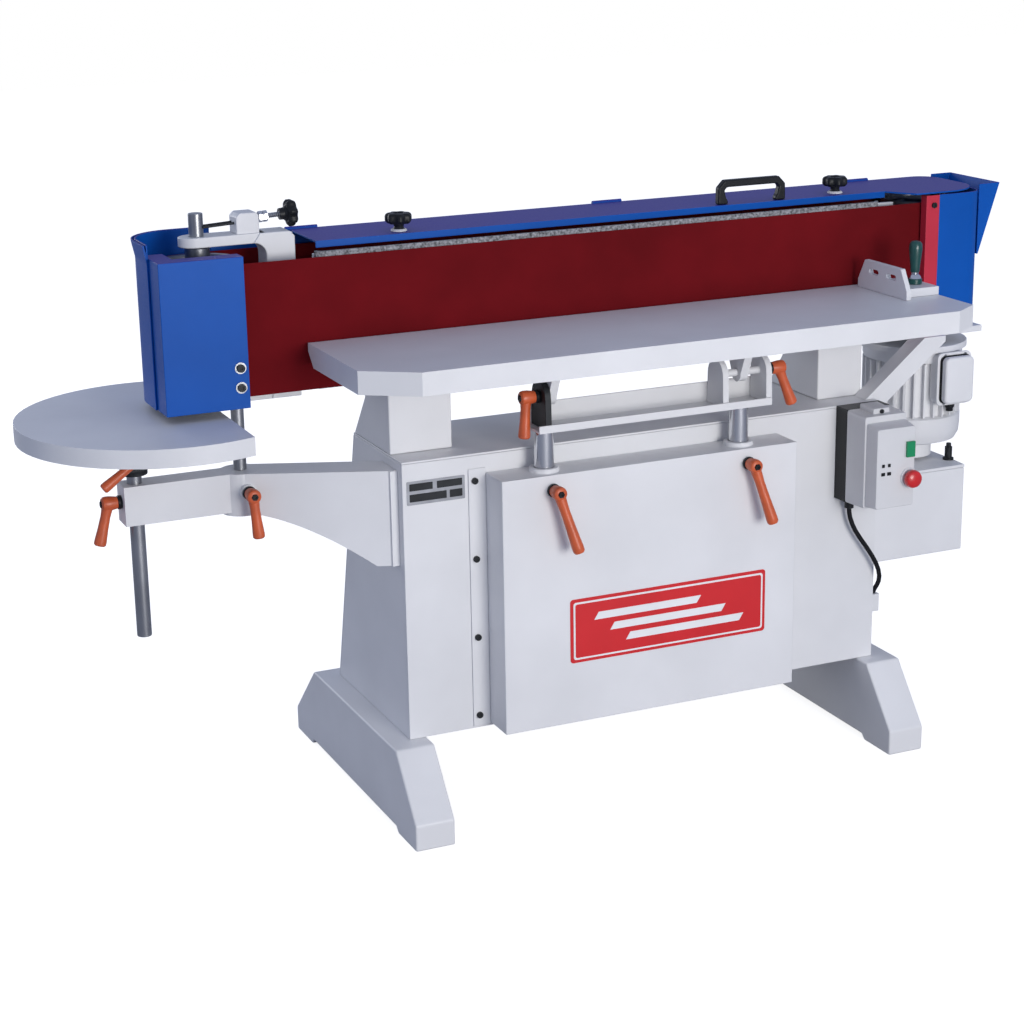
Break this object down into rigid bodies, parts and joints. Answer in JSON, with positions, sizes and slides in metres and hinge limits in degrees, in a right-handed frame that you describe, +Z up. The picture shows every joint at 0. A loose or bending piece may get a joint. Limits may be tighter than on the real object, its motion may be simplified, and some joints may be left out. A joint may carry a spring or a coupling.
{
  "type": "belt grinder",
  "caption": "Long horizontal edge belt grinder with oscillating belt, tilting front table, end table, guards and motor on a folded steel stand.",
  "frame": {"origin": "on the floor under the middle of the machine's box", "axes": "+X to the drive end, seen by the operator's right hand; +Y away from the operator; +Z up"},
  "size_m": [1.926, 0.753, 1.1271],
  "materials": {
    "stand_enamel": "light grey-white enamel",
    "guard_blue": "satin blue enamel",
    "entry_red": "satin red enamel",
    "belt_cloth": "resin-bonded abrasive grit on cloth",
    "graphite_pad": "graphite-coated canvas",
    "lever_orange": "orange enamel",
    "black_plastic": "moulded black",
    "handle_teal": "dark teal moulding",
    "chrome": "hard chrome",
    "grey_steel": "turned steel",
    "black_steel": "blackened",
    "start_green": "green moulding",
    "stop_red": "red moulding",
    "cord_black": "black sheath"
  },
  "bodies": {
    "root": {"left_foot": "stand_enamel", "right_foot": "stand_enamel", "cabinet_front": "stand_enamel", "cabinet_left_side": "stand_enamel", "cabinet_right_side": "stand_enamel", "cabinet_rear_panel": "stand_enamel", "cabinet_top_plate": "stand_enamel", "lift_box": "stand_enamel", "left_pedestal": "stand_enamel", "right_pedestal": "stand_enamel", "beam": "stand_enamel", "end_arm": "stand_enamel", "motor_bracket": "stand_enamel", "gear_housing": "stand_enamel", "gear_housing_cover": "stand_enamel", "starter_cover": "stand_enamel", "left_guard": "guard_blue", "left_hood": "guard_blue", "right_guard": "guard_blue", "right_hood": "guard_blue", "rear_guard": "guard_blue", "entry_guard": "entry_red", "platen_pad": "graphite_pad", "starter_back": "black_plastic", "platen": "grey_steel", "steady_post": "grey_steel", "switch_cord": "cord_black"},
    "table_lift": {"left_column": "chrome", "right_column": "chrome", "cradle_rail": "stand_enamel", "left_trunnion": "black_steel", "right_bracket": "stand_enamel"},
    "table": {"main_table": "stand_enamel"},
    "fence": {"stop_fence": "stand_enamel"},
    "fence_grip": {"fence_handle": "handle_teal"},
    "left_column_clamp": {"left_column_lever": "lever_orange"},
    "right_column_clamp": {"right_column_lever": "lever_orange"},
    "left_tilt_clamp": {"left_tilt_lever": "lever_orange"},
    "right_tilt_clamp": {"right_tilt_lever": "lever_orange"},
    "post_clamp": {"post_lever": "lever_orange"},
    "arm_clamp": {"arm_lever": "lever_orange"},
    "end_tilt_clamp": {"end_tilt_lever": "lever_orange"},
    "oscillating_unit": {"motor": "stand_enamel", "terminal_box": "stand_enamel", "sanding_belt": "belt_cloth"},
    "drive_pulley": {"drive_drum": "grey_steel"},
    "tension_slide": {"tension_bracket": "stand_enamel"},
    "idler_spindle": {"idler_shaft": "grey_steel"},
    "idler_pulley": {"idler_drum": "grey_steel"},
    "tracking_screw": {"tracking_knob": "black_plastic"},
    "cover": {"top_cover": "guard_blue", "cover_handle": "black_plastic"},
    "left_cover_screw": {"left_cover_knob": "black_plastic"},
    "right_cover_screw": {"right_cover_knob": "black_plastic"},
    "end_lift": {"end_post": "grey_steel"},
    "end_swivel": {"end_trunnion": "black_steel"},
    "end_table_top": {"end_table": "stand_enamel"},
    "start_switch": {"start_button": "start_green"},
    "stop_switch": {"stop_button": "stop_red"},
    "eccentric": {"eccentric_wheel": "grey_steel"}
  },
  "joints": [
    {"name": "table_lift_slide", "type": "slide", "parent": "root", "child": "table_lift", "axis": [0, 0, 1], "range_m": [-0.045, 0.1]},
    {"name": "table_tilt", "type": "hinge", "parent": "table_lift", "child": "table", "pos_m": [-0.089, -0.1855, 0.778], "axis": [1, 0, 0], "range_deg": [0, 45]},
    {"name": "fence_swivel", "type": "hinge", "parent": "table", "child": "fence", "pos_m": [0.687, -0.1885, 0.891], "axis": [0, 0, 1], "range_deg": [-10, 45]},
    {"name": "fence_handle_turn", "type": "hinge", "parent": "fence", "child": "fence_grip", "pos_m": [0.687, -0.1885, 0.9073], "axis": [0, 0, 1], "range_deg": [-90, 90]},
    {"name": "left_column_lever_turn", "type": "hinge", "parent": "root", "child": "left_column_clamp", "pos_m": [-0.079, -0.2215, 0.615], "axis": [0, -1, 0], "range_deg": [-50, 60]},
    {"name": "right_column_lever_turn", "type": "hinge", "parent": "root", "child": "right_column_clamp", "pos_m": [0.315, -0.2215, 0.615], "axis": [0, -1, 0], "range_deg": [-50, 60]},
    {"name": "left_tilt_lever_turn", "type": "hinge", "parent": "table_lift", "child": "left_tilt_clamp", "pos_m": [-0.089, -0.1855, 0.778], "axis": [-1, 0, 0], "range_deg": [-15, 60]},
    {"name": "right_tilt_lever_turn", "type": "hinge", "parent": "table_lift", "child": "right_tilt_clamp", "pos_m": [0.374, -0.1855, 0.778], "axis": [1, 0, 0], "range_deg": [-60, 15]},
    {"name": "post_lever_turn", "type": "hinge", "parent": "root", "child": "post_clamp", "pos_m": [-0.793, 0.0095, 0.629], "axis": [-1, 0, 0], "range_deg": [-40, 40]},
    {"name": "arm_lever_turn", "type": "hinge", "parent": "root", "child": "arm_clamp", "pos_m": [-0.578, -0.0365, 0.629], "axis": [0, -1, 0], "range_deg": [-30, 20]},
    {"name": "end_tilt_lever_turn", "type": "hinge", "parent": "end_swivel", "child": "end_tilt_clamp", "pos_m": [-0.768, -0.0185, 0.716], "axis": [0, -1, 0], "range_deg": [-30, 25]},
    {"name": "belt_oscillation", "type": "slide", "parent": "root", "child": "oscillating_unit", "axis": [0, 0, 1], "range_m": [-0.004, 0.004]},
    {"name": "drive_drum_spin", "type": "hinge", "parent": "oscillating_unit", "child": "drive_pulley", "pos_m": [0.823, 0.0095, 0.807], "axis": [0, 0, 1], "continuous": true},
    {"name": "tension_travel", "type": "slide", "parent": "root", "child": "tension_slide", "axis": [1, 0, 0], "range_m": [0, 0.01]},
    {"name": "idler_rise", "type": "slide", "parent": "tension_slide", "child": "idler_spindle", "axis": [0, 0, 1], "range_m": [-0.004, 0.004]},
    {"name": "idler_drum_spin", "type": "hinge", "parent": "idler_spindle", "child": "idler_pulley", "pos_m": [-0.633, 0.0095, 0.807], "axis": [0, 0, 1], "continuous": true},
    {"name": "tracking_knob_turn", "type": "hinge", "parent": "tension_slide", "child": "tracking_screw", "pos_m": [-0.5267, 0.0095, 1.1], "axis": [0.9986, 0, 0.0523], "range_deg": [-360, 360]},
    {"name": "top_cover_swing", "type": "hinge", "parent": "root", "child": "cover", "pos_m": [-0.434, 0.11575, 1.058], "axis": [-1, 0, 0], "range_deg": [0, 100]},
    {"name": "left_cover_knob_turn", "type": "hinge", "parent": "cover", "child": "left_cover_screw", "pos_m": [-0.27, -0.0025, 1.058], "axis": [0, 0, 1], "range_deg": [0, 360]},
    {"name": "right_cover_knob_turn", "type": "hinge", "parent": "cover", "child": "right_cover_screw", "pos_m": [0.625, -0.0025, 1.058], "axis": [0, 0, 1], "range_deg": [0, 360]},
    {"name": "end_post_slide", "type": "slide", "parent": "root", "child": "end_lift", "axis": [0, 0, 1], "range_m": [-0.015, 0.005]},
    {"name": "end_table_swivel", "type": "hinge", "parent": "end_lift", "child": "end_swivel", "pos_m": [-0.768, 0.0095, 0.676], "axis": [0, 0, 1], "range_deg": [-20, 20]},
    {"name": "end_table_tilt", "type": "hinge", "parent": "end_swivel", "child": "end_table_top", "pos_m": [-0.768, -0.0185, 0.716], "axis": [0, 1, 0], "range_deg": [0, 24]},
    {"name": "start_button_press", "type": "slide", "parent": "root", "child": "start_switch", "axis": [0, 1, 0], "range_m": [0, 0.004], "stiffness_N_per_m": 500},
    {"name": "stop_button_press", "type": "slide", "parent": "root", "child": "stop_switch", "axis": [0, 1, 0], "range_m": [0, 0.004], "stiffness_N_per_m": 500},
    {"name": "eccentric_spin", "type": "hinge", "parent": "root", "child": "eccentric", "pos_m": [0.77, 0.0095, 0.42], "axis": [0, 1, 0], "continuous": true}
  ],
  "couplings": [
    {"joint": "idler_rise", "follows": "belt_oscillation", "ratio": 1},
    {"joint": "idler_drum_spin", "follows": "drive_drum_spin", "ratio": 1},
    {"joint": "eccentric_spin", "follows": "drive_drum_spin", "ratio": 0.05}
  ]
}
